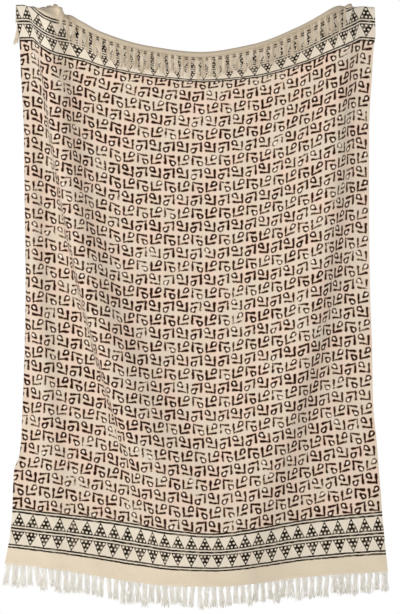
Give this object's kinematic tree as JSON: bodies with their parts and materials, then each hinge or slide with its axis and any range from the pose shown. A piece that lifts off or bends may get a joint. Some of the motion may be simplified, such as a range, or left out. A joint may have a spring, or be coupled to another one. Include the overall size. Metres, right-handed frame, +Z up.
{
  "type": "cotton throw blanket",
  "caption": "Printed cotton throw blanket with fringed ends, hanging by its two top corners, its top end flopped forward in the middle.",
  "frame": {"origin": "middle of the straight line between the two held top corners, at their height; the top edge sags below it", "axes": "+Z up; -Y towards the viewer of the printed face; +X to the viewer's right, along the top edge"},
  "size_m": [1.3229, 0.2368, 2.0872],
  "materials": {
    "printed_cotton": "matt woven cotton, block printed in dark brown on pinkish beige",
    "loose_yarn": "matt loose cotton yarn, off-white"
  },
  "bodies": {
    "root": {"cloth": "printed_cotton", "top_fringe": "loose_yarn", "bottom_fringe": "loose_yarn"}
  },
  "joints": []
}
